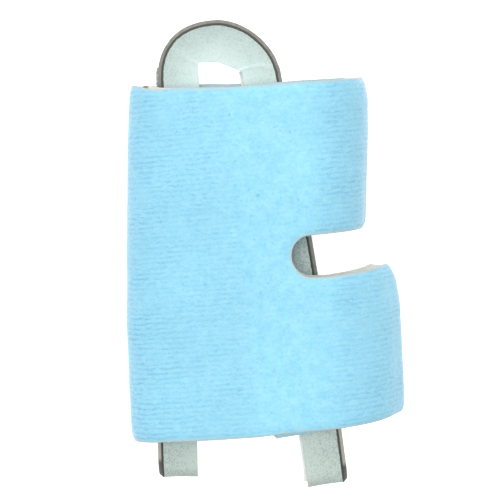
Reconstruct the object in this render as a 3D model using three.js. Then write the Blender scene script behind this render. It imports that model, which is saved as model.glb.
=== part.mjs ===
// Finger splint: a dished aluminium hairpin with a crown for the fingertip, held in a folded foam wrap.
// It lies on its back. X runs across the finger, Y along it towards the fingertip, Z up. Sizes are in
// millimetres and turns in degrees. While it is built, X = 0 is the frame's middle line and Y = 0 is the
// line where its crown starts; at the end the whole part is moved over the middle of its own footprint.
import * as THREE from 'three';
import { mergeVertices } from 'three/addons/utils/BufferGeometryUtils.js';

const degree = Math.PI / 180;

// Turn round the crown, in degrees, from its top to where each leg starts
const quarterTurn = 90;

// Metal frame
const metalThickness = 1.0;
const crownHalfWidth = 8.43;
const footHalfWidth = 13.08;
const legBow = 0.48;
const legWidths = { left: { crown: 5.6, foot: 5.35 }, right: { crown: 5.27, foot: 5.6 } };
const leftLegLength = 54.1;
const rightLegLength = 56.9;
const crownHeight = 8.4;
const crownFullness = { left: 2.4, right: 1.78 };
const windowHeight = 2.66;
const windowTopFall = { left: -0.083, right: 0.488 };
const windowCornerSharpness = 14;
const dishRadius = 10.55;
const rimSlope = 40 * degree;
const footBendRadius = 3.0;
const footTurn = 50 * degree;
const footSquareness = 0.168;
const squareAfter = 10;

// Hook strips glued behind the two legs. Each starts beside the window, at a turn in degrees from the
// crown's top, and ends down the leg, at a share of its length. Its edges are shares of the way across
// the metal's front face.
const hookThickness = 0.7;
const clearance = 0.25;
const hookStrips = {
  left: { top: 75, foot: 0.87, inner: 0.1, outerTop: 0.954, innerFoot: 0.1 },
  right: { top: 69, foot: 1, inner: -0.13, outerTop: 0.85, innerFoot: -0.1 },
};

// Foam wrap
const foamThickness = 3.0;
const wrapLength = 47.4;
const wrapDrop = 0.8;
const slotWidth = 5.4;
const slotPlace = 0.494;
const slotLand = 0.4;
const backEndSlope = 24 * degree;
const foldLeaveSlope = 37 * degree;
const foldReach = 0.95;
const crestRadius = 6;
const flapReach = 22.2;
const flapGroundGap = 0.25;
const flapSideGap = 0.5;
const rimGap = 0.33;
const layerGap = 0.3;
const rimFoldRadius = 1.0;
const tuckEndX = 2.8;
const tuckPressed = 0.85;

// The stretches of the wrap in the order of its fold: how many steps each takes, how far the wrap's
// top and bottom cut edges have drifted at its end, and how far the lower flap's edge along the slot
// has slid with them, all as shares of the wrap's length.
const wrapStart = { top: 0.006, bottom: 0, slide: 0 };
const stretches = {
  underRight: { steps: 3, top: 0.01, bottom: 0, slide: 0 },
  floor: { steps: 2, top: 0.015, bottom: 0, slide: 0 },
  underLeft: { steps: 5, top: 0.018, bottom: 0.001, slide: 0 },
  leftFold: { steps: 9, top: 0.013, bottom: 0.009, slide: 0 },
  rise: { steps: 4, top: 0.001, bottom: 0.003, slide: 0 },
  crest: { steps: 2, top: 0, bottom: 0, slide: 0 },
  front: { steps: 2, top: -0.002, bottom: 0.001, slide: 0 },
  slotRound: { steps: 6, top: -0.003, bottom: 0.004, slide: 0 },
  land: { steps: 1, top: -0.003, bottom: 0.007, slide: 0 },
  bend: { steps: 6, top: 0, bottom: 0.016, slide: 0.01 },
  slope: { steps: 2, top: 0.002, bottom: 0.017, slide: 0.007 },
  curl: { steps: 10, top: 0.004, bottom: 0.008, slide: -0.045 },
  riser: { steps: 2, top: 0.002, bottom: 0, slide: -0.045 },
  overRim: { steps: 6, top: 0, bottom: -0.008, slide: -0.04 },
  tuck: { steps: 3, top: 0, bottom: -0.014, slide: -0.035 },
};

// The two flaps: slope of the falling side in degrees, radius of its upper bend in thicknesses of
// foam, and the reach of the outermost bulge as a share of the flap reach, at places down from the
// wrap's top edge as shares of its length.
const flaps = {
  upper: {
    slope: 80,
    bend: 1.4,
    bulge: [
      { place: 0.0, reach: 0.885 },
      { place: 0.07, reach: 0.899 },
      { place: 0.215, reach: 0.876 },
      { place: 0.36, reach: 0.845 },
      { place: 0.437, reach: 0.826 },
    ],
  },
  lower: {
    slope: 62,
    bend: 2.0,
    bulge: [
      { place: 0.551, reach: 0.965 },
      { place: 0.6, reach: 0.99 },
      { place: 0.66, reach: 1.0 },
      { place: 0.81, reach: 0.99 },
      { place: 1.0, reach: 0.978 },
    ],
  },
};
const rowsPerFlap = 8;

// Heights and widths that follow from the stack: foam, hook strip, metal
const rimBand = metalThickness * Math.sin(rimSlope);
const keelHeight = foamThickness + hookThickness + 2 * clearance + metalThickness;
const gutterHeight = keelHeight + dishRadius;
const rimHeight = gutterHeight - dishRadius * Math.cos(rimSlope);
const underRadius = gutterHeight - foamThickness;
const tuckHeight = rimHeight + rimGap + tuckPressed * foamThickness;
const frontHeight = tuckHeight + layerGap;
const wrapTop = -wrapDrop;
const slotY = wrapTop - slotPlace * wrapLength;
const slotRadius = slotWidth / 2;

// How far down the legs a place along the finger is, as a share of their mean length
function shareDown(y) {
  return -2 * y / (leftLegLength + rightLegLength);
}

// Half of the frame's outside width at a place along the finger
function legHalfWidth(y) {
  const share = shareDown(y);
  return THREE.MathUtils.lerp(crownHalfWidth, footHalfWidth, share) + 4 * legBow * share * (1 - share);
}

// Distance from the middle of the crown's base to the metal's front edge along a ray, as on an
// ellipse whose roundness is set by its exponent
function crownReach(sine, cosine, fullness) {
  const across = Math.abs(sine) / (crownHalfWidth - rimBand);
  const along = Math.abs(cosine) / (crownHeight - rimBand);
  return (across ** fullness + along ** fullness) ** (-1 / fullness);
}

// Distance from the same point to the window's edge, with its two upper corners rounded
function windowReach(sine, cosine, hand) {
  const side = Math.abs(sine) / (crownHalfWidth - legWidths[hand].crown);
  const top = (cosine + windowTopFall[hand] * Math.abs(sine)) / windowHeight;
  const power = windowCornerSharpness;
  return (side ** power + Math.max(top, 0) ** power) ** (-1 / power);
}

// Inner and outer points, in plan, of the line across the metal at a station. Stations within a
// quarter turn are degrees round the crown, left of its top negative; beyond it they go on in
// millimetres down a leg.
function acrossMetal(station) {
  const side = station < 0 ? -1 : 1;
  const hand = side < 0 ? 'left' : 'right';
  const beyond = Math.abs(station) - quarterTurn;
  if (beyond <= 0) {
    const sine = Math.sin(station * degree);
    const cosine = Math.cos(station * degree);
    const inner = windowReach(sine, cosine, hand);
    const outer = crownReach(sine, cosine, crownFullness[hand]);
    return { inner: [inner * sine, inner * cosine], outer: [outer * sine, outer * cosine] };
  }
  const outerX = legHalfWidth(-beyond) - rimBand;
  const { crown, foot } = legWidths[hand];
  const frontWidth = THREE.MathUtils.lerp(crown, foot, shareDown(-beyond)) - rimBand;
  const skew = footSquareness * Math.min(1, beyond / squareAfter) * frontWidth / 2;
  return {
    inner: [side * (outerX - frontWidth), -beyond - skew],
    outer: [side * outerX, -beyond + skew],
  };
}

// A point of the metal's front face: across runs from 0 at its inner edge to 1 at its outer rim
function metalFront(station, across) {
  const legLength = station < 0 ? leftLegLength : rightLegLength;
  const bendStart = legLength - footBendRadius * Math.sin(footTurn);
  const past = Math.max(0, Math.abs(station) - quarterTurn - bendStart);
  const turn = past / footBendRadius;
  const level = Math.abs(station) - past + footBendRadius * Math.sin(turn);
  const { inner, outer } = acrossMetal(Math.sign(station) * level);
  const width = Math.hypot(outer[0] - inner[0], outer[1] - inner[1]);
  const sine = Math.max(0, Math.sin(rimSlope) - (1 - across) * width / dishRadius);
  const rise = dishRadius * (1 - Math.sqrt(1 - sine ** 2));
  return new THREE.Vector3(
    THREE.MathUtils.lerp(inner[0], outer[0], across),
    THREE.MathUtils.lerp(inner[1], outer[1], across),
    keelHeight + rise - footBendRadius * (1 - Math.cos(turn)),
  );
}

// The same point moved straight back, away from the finger, by a depth
function behindMetal(station, across, depth) {
  const small = 0.01;
  const along = metalFront(station + small, across).sub(metalFront(station - small, across));
  const sideways = metalFront(station, across + small).sub(metalFront(station, across - small));
  const normal = along.cross(sideways).normalize();
  normal.multiplyScalar(Math.sign(normal.z) || 1);
  return metalFront(station, across).addScaledVector(normal, -depth);
}

// Adds the two triangles of a four-sided face whose corners run anticlockwise seen from outside
function addQuad(corners, a, b, c, d) {
  for (const point of [a, b, c, a, c, d]) corners.push(point.x, point.y, point.z);
}

function addSheet(corners, grid, flip) {
  for (let i = 0; i + 1 < grid.length; i += 1) {
    for (let j = 0; j + 1 < grid[i].length; j += 1) {
      const [a, b, c, d] = [grid[i][j], grid[i + 1][j], grid[i + 1][j + 1], grid[i][j + 1]];
      if (flip) addQuad(corners, d, c, b, a);
      else addQuad(corners, a, b, c, d);
    }
  }
}

function addWall(corners, front, back) {
  for (let i = 0; i + 1 < front.length; i += 1) {
    addQuad(corners, front[i], back[i], back[i + 1], front[i + 1]);
  }
}

// Turns loose corners into one closed body with shared points
function closedBody(corners) {
  const geometry = new THREE.BufferGeometry();
  geometry.setAttribute('position', new THREE.Float32BufferAttribute(corners, 3));
  const merged = mergeVertices(geometry, 1e-4);
  merged.computeVertexNormals();
  return merged;
}

// A plate between two depths behind the metal's front face, over a list of stations. acrossAt gives
// the places across it at a station, from the inner edge outwards.
function plateBehindMetal(stations, acrossAt, frontDepth, backDepth) {
  const gridAt = (depth) => stations.map(
    (station) => acrossAt(station).map((across) => behindMetal(station, across, depth)));
  const front = gridAt(frontDepth);
  const back = gridAt(backDepth);
  const last = front.length - 1;
  const corners = [];
  addSheet(corners, front, false);
  addSheet(corners, back, true);
  addWall(corners, front[0].slice().reverse(), back[0].slice().reverse());
  addWall(corners, front[last], back[last]);
  const edge = (grid, j) => grid.map((line) => line[j]);
  const outer = front[0].length - 1;
  addWall(corners, edge(front, 0), edge(back, 0));
  addWall(corners, edge(front, outer).reverse(), edge(back, outer).reverse());
  return closedBody(corners);
}

function steps(from, to, count) {
  return Array.from({ length: count + 1 }, (_, i) => THREE.MathUtils.lerp(from, to, i / count));
}

// Stations of one leg from its foot up to the crown, closer together round the bend at its foot
function legStations(legLength) {
  const bendStart = legLength - footBendRadius * Math.sin(footTurn);
  const foot = steps(bendStart + footBendRadius * footTurn, bendStart, 6);
  return foot.concat(steps(bendStart, 0, 14).slice(1)).map((down) => quarterTurn + down);
}

function metalFrame() {
  const left = legStations(leftLegLength).map((station) => -station);
  const crown = steps(-quarterTurn, quarterTurn, 30).slice(1, -1);
  const right = legStations(rightLegLength).reverse();
  const across = steps(0, 1, 6);
  return plateBehindMetal([...left, ...crown, ...right], () => across, 0, metalThickness);
}

// A strip of hook tape behind one leg
function hookStrip(side, strip, legLength) {
  const foot = quarterTurn + strip.foot * legLength;
  const beside = steps(strip.top, quarterTurn, 4).slice(0, -1);
  const down = steps(quarterTurn, foot, 16);
  const stations = [...beside, ...down].map((station) => side * station);
  if (side < 0) stations.reverse();
  const acrossAt = (station) => {
    const share = (Math.abs(station) - strip.top) / (foot - strip.top);
    return steps(THREE.MathUtils.lerp(strip.inner, strip.innerFoot, share), strip.outerTop, 4);
  };
  const frontDepth = metalThickness + clearance;
  return plateBehindMetal(stations, acrossAt, frontDepth, frontDepth + hookThickness);
}

// Follows the inner face of the wrap in the plane across the finger. A negative turn is clockwise
// when seen from the feet, and bends the sheet towards its inner face.
class Trail {
  constructor(x, z, heading) {
    this.points = [{ x, z, heading }];
  }

  get end() {
    return this.points[this.points.length - 1];
  }

  line(length, count) {
    const { x, z, heading } = this.end;
    for (const reach of steps(0, length, count).slice(1)) {
      this.points.push({ x: x + reach * Math.cos(heading), z: z + reach * Math.sin(heading), heading });
    }
  }

  arc(radius, turn, count) {
    const { x, z, heading } = this.end;
    const side = Math.sign(turn);
    const centreX = x - side * radius * Math.sin(heading);
    const centreZ = z + side * radius * Math.cos(heading);
    for (const turned of steps(heading, heading + turn, count).slice(1)) {
      this.points.push({
        x: centreX + side * radius * Math.sin(turned),
        z: centreZ - side * radius * Math.cos(turned),
        heading: turned,
      });
    }
  }
}

// How far a flap bulges at any place between the rows of its table
function bulgeAt(table, place) {
  const next = table.findIndex((row) => row.place >= place);
  if (next === 0) return table[0].reach;
  if (next < 0) return table[table.length - 1].reach;
  const [from, to] = [table[next - 1], table[next]];
  return THREE.MathUtils.mapLinear(place, from.place, to.place, from.reach, to.reach);
}

// Sizes of one flap at a place along the finger: where its bulge hangs and how it bends down to it
function flapShape(y, flap) {
  const outside = bulgeAt(flaps[flap].bulge, (wrapTop - y) / wrapLength) * flapReach;
  const inside = legHalfWidth(y) + flapSideGap;
  const curlRadius = (outside - inside) / 2 - foamThickness;
  const curlX = outside - foamThickness - curlRadius;
  const curlZ = flapGroundGap + foamThickness + curlRadius;
  const slope = flaps[flap].slope * degree;
  const bendRadius = flaps[flap].bend * foamThickness;
  const bendDrop = bendRadius * (1 - Math.cos(slope));
  const fall = frontHeight - bendDrop - curlZ - curlRadius * Math.cos(slope);
  const fallLength = fall / Math.sin(slope);
  const bendX = curlX + (curlRadius - bendRadius) * Math.sin(slope) - fallLength * Math.cos(slope);
  return { curlRadius, curlZ, slope, bendRadius, fallLength, bendX };
}

// The slot's round end stops just short of the upper flap's bend
const slotCentreX = flapShape(slotY + slotRadius, 'upper').bendX - slotLand;

// The inner face of the wrap across the finger at a place along it, as a list of points
function wrapSection(y, flap) {
  const halfWidth = legHalfWidth(y);
  const gutterX = halfWidth - rimBand - dishRadius * Math.sin(rimSlope);
  const leaveX = gutterX + underRadius * Math.sin(foldLeaveSlope);
  const foldRadius = (halfWidth + foldReach - leaveX) / (1 - Math.sin(foldLeaveSlope));
  const foldX = foldRadius - halfWidth - foldReach;
  const foldZ = gutterHeight - (underRadius - foldRadius) * Math.cos(foldLeaveSlope);
  const crestX = tuckEndX - layerGap;
  const spanX = crestX - foldX;
  const spanZ = frontHeight - crestRadius - foldZ;
  const spread = Math.hypot(spanX, spanZ);
  const riseSlope = Math.atan2(spanZ, spanX) + Math.asin((crestRadius - foldRadius) / spread);
  const riseLength = Math.sqrt(spread ** 2 - (crestRadius - foldRadius) ** 2);
  const shape = flapShape(y, flap);

  const startX = gutterX + underRadius * Math.sin(backEndSlope);
  const startZ = gutterHeight - underRadius * Math.cos(backEndSlope);
  const trail = new Trail(startX, startZ, Math.PI + backEndSlope);
  trail.arc(underRadius, -backEndSlope, stretches.underRight.steps);
  trail.line(2 * gutterX, stretches.floor.steps);
  trail.arc(underRadius, -foldLeaveSlope, stretches.underLeft.steps);
  trail.arc(foldRadius, riseSlope + foldLeaveSlope - Math.PI, stretches.leftFold.steps);
  trail.line(riseLength, stretches.rise.steps);
  trail.arc(crestRadius, -riseSlope, stretches.crest.steps);
  trail.line(slotCentreX - slotRadius - crestX, stretches.front.steps);
  const round = steps(0, Math.PI / 2, stretches.slotRound.steps);
  for (let i = 1; i < round.length; i += 1) {
    trail.line(slotRadius * (Math.cos(round[i - 1]) - Math.cos(round[i])), 1);
  }
  trail.line(shape.bendX - slotCentreX, stretches.land.steps);
  trail.arc(shape.bendRadius, -shape.slope, stretches.bend.steps);
  trail.line(shape.fallLength, stretches.slope.steps);
  trail.arc(shape.curlRadius, shape.slope - 1.5 * Math.PI, stretches.curl.steps);
  const overRimRadius = rimFoldRadius + foamThickness;
  trail.line(tuckHeight - overRimRadius - shape.curlZ, stretches.riser.steps);
  trail.arc(overRimRadius, Math.PI / 2, stretches.overRim.steps);
  trail.line(halfWidth + flapSideGap - rimFoldRadius - tuckEndX, stretches.tuck.steps);
  return trail.points;
}

// What changes from column to column of the wrap: its cut edges, its thickness and half the slot
function wrapColumns() {
  const columns = [{ ...wrapStart, thickness: foamThickness, halfSlot: 0 }];
  const pressed = tuckPressed * foamThickness;
  let thickness = foamThickness;
  let halfSlot = 0;
  let before = wrapStart;
  for (const [name, stretch] of Object.entries(stretches)) {
    const thicknessEnd = name === 'overRim' || name === 'tuck' ? pressed : foamThickness;
    for (const share of steps(0, 1, stretch.steps).slice(1)) {
      if (name === 'slotRound') halfSlot = slotRadius * Math.sin(share * Math.PI / 2);
      columns.push({
        top: THREE.MathUtils.lerp(before.top, stretch.top, share),
        bottom: THREE.MathUtils.lerp(before.bottom, stretch.bottom, share),
        slide: THREE.MathUtils.lerp(before.slide, stretch.slide, share),
        thickness: THREE.MathUtils.lerp(thickness, thicknessEnd, share),
        halfSlot,
      });
    }
    thickness = thicknessEnd;
    before = stretch;
  }
  return columns;
}

// Inner and outer faces of one flap's half of the wrap, as grids of points: columns follow the fold,
// rows run along the finger from the feet up
function wrapHalf(columns, flap) {
  const rows = steps(0, 1, rowsPerFlap);
  const inner = [];
  const outer = [];
  columns.forEach(({ top, bottom, slide, thickness, halfSlot }, i) => {
    const topEdge = wrapTop + top * wrapLength;
    const bottomEdge = wrapTop - wrapLength + bottom * wrapLength;
    const from = flap === 'upper' ? slotY + halfSlot : bottomEdge;
    const to = flap === 'upper' ? topEdge : slotY - halfSlot + slide * wrapLength;
    inner.push([]);
    outer.push([]);
    for (const row of rows) {
      const y = THREE.MathUtils.lerp(from, to, row);
      const { x, z, heading } = wrapSection(y, flap)[i];
      inner[i].push(new THREE.Vector3(x, y, z));
      outer[i].push(new THREE.Vector3(
        x - thickness * Math.sin(heading), y, z + thickness * Math.cos(heading)));
    }
  });
  return { inner, outer };
}

function foamWrap() {
  const columns = wrapColumns();
  const slotStart = columns.findIndex((column) => column.halfSlot > 0) - 1;
  const last = columns.length - 1;
  const corners = [];
  for (const flap of ['lower', 'upper']) {
    const { inner, outer } = wrapHalf(columns, flap);
    const edge = (grid, j, from) => grid.slice(from).map((line) => line[j]);
    const bottomFrom = flap === 'lower' ? 0 : slotStart;
    const topFrom = flap === 'lower' ? slotStart : 0;
    addSheet(corners, outer, false);
    addSheet(corners, inner, true);
    addWall(corners, outer[last], inner[last]);
    addWall(corners, outer[0].slice().reverse(), inner[0].slice().reverse());
    addWall(corners, edge(outer, 0, bottomFrom), edge(inner, 0, bottomFrom));
    addWall(corners, edge(outer, rowsPerFlap, topFrom).reverse(), edge(inner, rowsPerFlap, topFrom).reverse());
  }
  return closedBody(corners);
}

const aluminium = new THREE.MeshStandardMaterial({ color: 0xc4d2cc, metalness: 0.9, roughness: 0.42 });
const hookTape = new THREE.MeshStandardMaterial({ color: 0xe4e6df, metalness: 0, roughness: 0.8 });
const loopFoam = new THREE.MeshStandardMaterial({ color: 0x9cd8f4, metalness: 0, roughness: 0.95 });

function piece(name, geometry, material) {
  const mesh = new THREE.Mesh(geometry, material);
  mesh.name = name;
  return mesh;
}

const splint = new THREE.Group();
splint.add(piece('metal_frame', metalFrame(), aluminium));
splint.add(piece('hook_strip_left', hookStrip(-1, hookStrips.left, leftLegLength), hookTape));
splint.add(piece('hook_strip_right', hookStrip(1, hookStrips.right, rightLegLength), hookTape));
splint.add(piece('foam_wrap', foamWrap(), loopFoam));

const footprint = new THREE.Box3().setFromObject(splint);
const middle = footprint.getCenter(new THREE.Vector3());
splint.position.set(-middle.x, -middle.y, -footprint.min.z);

export default splint;
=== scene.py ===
import math

import bmesh
import bpy
import numpy as np
from mathutils import Matrix, Vector, noise


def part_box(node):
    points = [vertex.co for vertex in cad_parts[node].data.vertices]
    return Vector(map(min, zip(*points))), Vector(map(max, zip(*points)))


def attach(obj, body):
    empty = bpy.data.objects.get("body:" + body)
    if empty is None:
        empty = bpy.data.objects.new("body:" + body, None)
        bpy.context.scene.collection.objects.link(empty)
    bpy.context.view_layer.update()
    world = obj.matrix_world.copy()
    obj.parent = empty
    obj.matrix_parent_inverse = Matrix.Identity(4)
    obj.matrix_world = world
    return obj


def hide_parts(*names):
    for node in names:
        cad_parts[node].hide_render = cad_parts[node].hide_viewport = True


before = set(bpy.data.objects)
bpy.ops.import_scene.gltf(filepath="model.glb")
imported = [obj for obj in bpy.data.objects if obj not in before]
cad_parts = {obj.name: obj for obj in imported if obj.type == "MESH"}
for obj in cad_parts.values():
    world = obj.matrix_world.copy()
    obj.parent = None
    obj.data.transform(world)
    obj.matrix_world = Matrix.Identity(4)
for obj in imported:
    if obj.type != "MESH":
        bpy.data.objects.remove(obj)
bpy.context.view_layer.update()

# Finger splint on a pale floor. Sizes are in millimetres until a mesh is made, and turns in radians.
# The making frame has X = 0 on the metal's middle line and Y = 0 where its crown starts.
MM = 0.001

# Metal frame
METAL_THICKNESS = 1.0
CROWN_HALF_WIDTH = 8.43
FOOT_HALF_WIDTH = 13.08
LEG_BOW = 0.48
LEG_WIDTHS = {"left": (5.6, 5.35), "right": (5.27, 5.6)}
LEG_LENGTHS = {"left": 54.1, "right": 56.9}
CROWN_HEIGHT = 8.4
CROWN_FULLNESS = {"left": 2.4, "right": 1.78}
WINDOW_HEIGHT = 2.66
WINDOW_TOP_FALL = {"left": -0.083, "right": 0.488}
WINDOW_CORNER_SHARPNESS = 14
DISH_RADIUS = 10.55
RIM_SLOPE = math.radians(40)
FOOT_BEND_RADIUS = 5.0
FOOT_TURN = math.radians(28)
FOOT_SQUARENESS = 0.168
SQUARE_AFTER = 10
QUARTER_TURN = 90
SIDES = {"left": -1, "right": 1}
CROWN_STEPS = 96
STEPS_ACROSS_METAL = 22
METAL_BEVEL = 0.08
SLOPE_STEP = 0.01

# Hook tape behind the legs: its top is a station, its foot a share of the leg's length, and its edges
# are shares of the way across the metal's front face
HOOK_THICKNESS = 0.7
TAPE_SHARE = 0.6
TAPE_BEVEL = 0.04
STEPS_ACROSS_TAPE = 12
CLEARANCE = 0.25
HOOK_STRIPS = {
    "left": {"top": 72, "foot": 0.87, "inner": 0.1, "outer": 0.972, "inner_foot": 0.1},
    "right": {"top": 69, "foot": 1.0, "inner": -0.13, "outer": 0.85, "inner_foot": -0.1},
}

# Foam wrap
FOAM_THICKNESS = 3.0
WRAP_LENGTH = 47.4
WRAP_TOP = -0.8
SLOT_RADIUS = 2.7
SLOT_PLACE = 0.494
SLOT_LAND = 0.4
BACK_END_SLOPE = math.radians(24)
FOLD_LEAVE_SLOPE = math.radians(37)
FOLD_REACH = 0.95
CREST_RADIUS = 6.0
FLAP_REACH = 22.2
FLAP_GROUND_GAP = 0.25
FLAP_SIDE_GAP = 0.5
RIM_GAP = 0.33
LAYER_GAP = 0.3
RIM_FOLD_RADIUS = 1.0
TUCK_END_X = 2.8
TUCK_PRESSED = 0.85

# Stretches of the wrap in the order of its fold: fine steps, and how far its top cut edge, its bottom
# cut edge and the lower flap's slot edge have drifted at the end, as shares of its length
STRETCHES = [
    ("under_right", 10, 0.01, 0.0, 0.0),
    ("floor", 8, 0.015, 0.0, 0.0),
    ("under_left", 14, 0.02, 0.001, 0.0),
    ("left_fold", 26, 0.013, 0.003, 0.0),
    ("rise", 12, -0.0025, -0.002, 0.0),
    ("crest", 8, -0.003, -0.001, 0.0),
    ("front", 14, -0.0045, 0.001, 0.0),
    ("slot_round", 12, -0.0055, 0.001, -0.003),
    ("land", 4, -0.0055, 0.002, -0.005),
    ("bend", 18, -0.006, 0.009, 0.004),
    ("slope", 8, -0.001, 0.01, 0.007),
    ("curl", 30, 0.004, 0.002, -0.045),
    ("riser", 6, 0.002, 0.0, -0.045),
    ("over_rim", 14, 0.0, -0.005, -0.04),
    ("tuck", 12, 0.0, -0.019, -0.035),
]
WRAP_START_TOP = 0.006

# Slope of each flap, radius of the bend down to it in thicknesses of the foam, and its reach as shares
# of FLAP_REACH, at places that are shares of the wrap's length from its top
FLAPS = {
    "upper": {"slope": math.radians(80), "bend": 1.4,
              "place": (0.0, 0.07, 0.215, 0.36, 0.437),
              "reach": (0.889, 0.903, 0.879, 0.849, 0.833)},
    "lower": {"slope": math.radians(62), "bend": 2.0,
              "place": (0.551, 0.6, 0.66, 0.81, 1.0),
              "reach": (0.967, 0.991, 1.004, 0.997, 0.985)},
}
ROWS_PER_FLAP = 56
EDGE_CROWDING = 0.75

# Heights that follow from the stack of foam, hook tape and metal
RIM_BAND = METAL_THICKNESS * math.sin(RIM_SLOPE)
KEEL_HEIGHT = FOAM_THICKNESS + HOOK_THICKNESS + 2 * CLEARANCE + METAL_THICKNESS
GUTTER_HEIGHT = KEEL_HEIGHT + DISH_RADIUS
RIM_HEIGHT = GUTTER_HEIGHT - DISH_RADIUS * math.cos(RIM_SLOPE)
UNDER_RADIUS = GUTTER_HEIGHT - FOAM_THICKNESS
TUCK_HEIGHT = RIM_HEIGHT + RIM_GAP + TUCK_PRESSED * FOAM_THICKNESS
FRONT_HEIGHT = TUCK_HEIGHT + LAYER_GAP
SLOT_Y = WRAP_TOP - SLOT_PLACE * WRAP_LENGTH

# Where the making frame stands in the model: the crown's top fixes Y, and the metal's middle line lies
# this far to the left of the middle of the model's box
MIDDLE_LINE_LEFT = 2.78
metal_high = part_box("metal_frame")[1]
ORIGIN = Vector((-MIDDLE_LINE_LEFT * MM, metal_high.y - CROWN_HEIGHT * MM, 0))


def to_model(x, y, z):
    """A place in the making frame, in millimetres, as metres in the model's frame."""
    return np.stack([x * MM + ORIGIN.x, y * MM + ORIGIN.y, z * MM + np.zeros_like(x)], axis=-1)


# Shape of the metal. A station says where a place is along it, with a minus sign on the left: degrees
# round the crown from its top, up to a quarter turn, and then millimetres down the leg on top of that.

def hand_at(station):
    return "left" if station < 0 else "right"


def share_down(y):
    """Share of the legs' mean length that a place is below the crown."""
    return -2 * y / (LEG_LENGTHS["left"] + LEG_LENGTHS["right"])


def leg_half_width(y):
    """Half the frame's width, over its rims."""
    share = share_down(y)
    straight = CROWN_HALF_WIDTH + (FOOT_HALF_WIDTH - CROWN_HALF_WIDTH) * share
    return straight + 4 * LEG_BOW * share * (1 - share)


def across_metal(station):
    """Inner and outer points in plan of the line across the metal at a station."""
    hand = hand_at(station)
    side = SIDES[hand]
    beyond = abs(station) - QUARTER_TURN
    crown_width, foot_width = LEG_WIDTHS[hand]
    if beyond <= 0:
        sine = math.sin(math.radians(station))
        cosine = math.cos(math.radians(station))
        flank = abs(sine) / (CROWN_HALF_WIDTH - crown_width)
        top = max(0.0, (cosine + WINDOW_TOP_FALL[hand] * abs(sine)) / WINDOW_HEIGHT)
        power = WINDOW_CORNER_SHARPNESS
        inner = (flank ** power + top ** power) ** (-1 / power)
        across = abs(sine) / (CROWN_HALF_WIDTH - RIM_BAND)
        along = abs(cosine) / (CROWN_HEIGHT - RIM_BAND)
        power = CROWN_FULLNESS[hand]
        outer = (across ** power + along ** power) ** (-1 / power)
        return Vector((inner * sine, inner * cosine)), Vector((outer * sine, outer * cosine))
    outer_x = leg_half_width(-beyond) - RIM_BAND
    width = crown_width + (foot_width - crown_width) * share_down(-beyond) - RIM_BAND
    skew = FOOT_SQUARENESS * min(1, beyond / SQUARE_AFTER) * width / 2
    return Vector((side * (outer_x - width), -beyond - skew)), Vector((side * outer_x, -beyond + skew))


def metal_front(station, across):
    """A point of the metal's front face: across is 0 at its inner edge and 1 at its outer rim."""
    length = LEG_LENGTHS[hand_at(station)]
    bend_start = length - FOOT_BEND_RADIUS * math.sin(FOOT_TURN)
    past = max(0.0, abs(station) - QUARTER_TURN - bend_start)
    turn = past / FOOT_BEND_RADIUS
    level = abs(station) - past + FOOT_BEND_RADIUS * math.sin(turn)
    inner, outer = across_metal(math.copysign(level, station))
    sine = max(0.0, math.sin(RIM_SLOPE) - (1 - across) * (outer - inner).length / DISH_RADIUS)
    rise = DISH_RADIUS * (1 - math.sqrt(1 - sine ** 2))
    place = inner.lerp(outer, across)
    return Vector((place.x, place.y, KEEL_HEIGHT + rise - FOOT_BEND_RADIUS * (1 - math.cos(turn))))


def behind_metal(station, across, depth):
    """The same point moved straight back, away from the finger."""
    along = metal_front(station + SLOPE_STEP, across) - metal_front(station - SLOPE_STEP, across)
    sideways = metal_front(station, across + SLOPE_STEP) - metal_front(station, across - SLOPE_STEP)
    normal = along.cross(sideways).normalized()
    if normal.z < 0:
        normal.negate()
    return metal_front(station, across) - normal * depth


def leg_stations(hand, bend_steps=12, leg_steps=44):
    """Stations from a foot up to the crown's base, finer round the bend at the foot."""
    bend_start = LEG_LENGTHS[hand] - FOOT_BEND_RADIUS * math.sin(FOOT_TURN)
    end = bend_start + FOOT_BEND_RADIUS * FOOT_TURN
    bend = np.linspace(end, bend_start, bend_steps + 1)
    leg = np.linspace(bend_start, 0, leg_steps + 1)[1:]
    return QUARTER_TURN + np.concatenate([bend, leg])


# Shape of the wrap

def flap_shape(y, flap):
    """Sizes of one flap at places along the finger: its curl and the bend down to it."""
    table = FLAPS[flap]
    outside = np.interp((WRAP_TOP - y) / WRAP_LENGTH, table["place"], table["reach"]) * FLAP_REACH
    inside = leg_half_width(y) + FLAP_SIDE_GAP
    curl_radius = (outside - inside) / 2 - FOAM_THICKNESS
    curl_x = outside - FOAM_THICKNESS - curl_radius
    curl_z = FLAP_GROUND_GAP + FOAM_THICKNESS + curl_radius
    slope = table["slope"]
    bend_radius = table["bend"] * FOAM_THICKNESS
    drop = bend_radius * (1 - math.cos(slope))
    fall = FRONT_HEIGHT - drop - curl_z - curl_radius * math.cos(slope)
    fall_length = fall / math.sin(slope)
    bend_x = curl_x + (curl_radius - bend_radius) * math.sin(slope) - fall_length * math.cos(slope)
    return curl_radius, curl_z, slope, bend_radius, fall_length, bend_x


SLOT_CENTRE_X = flap_shape(SLOT_Y + SLOT_RADIUS, "upper")[-1] - SLOT_LAND


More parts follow.
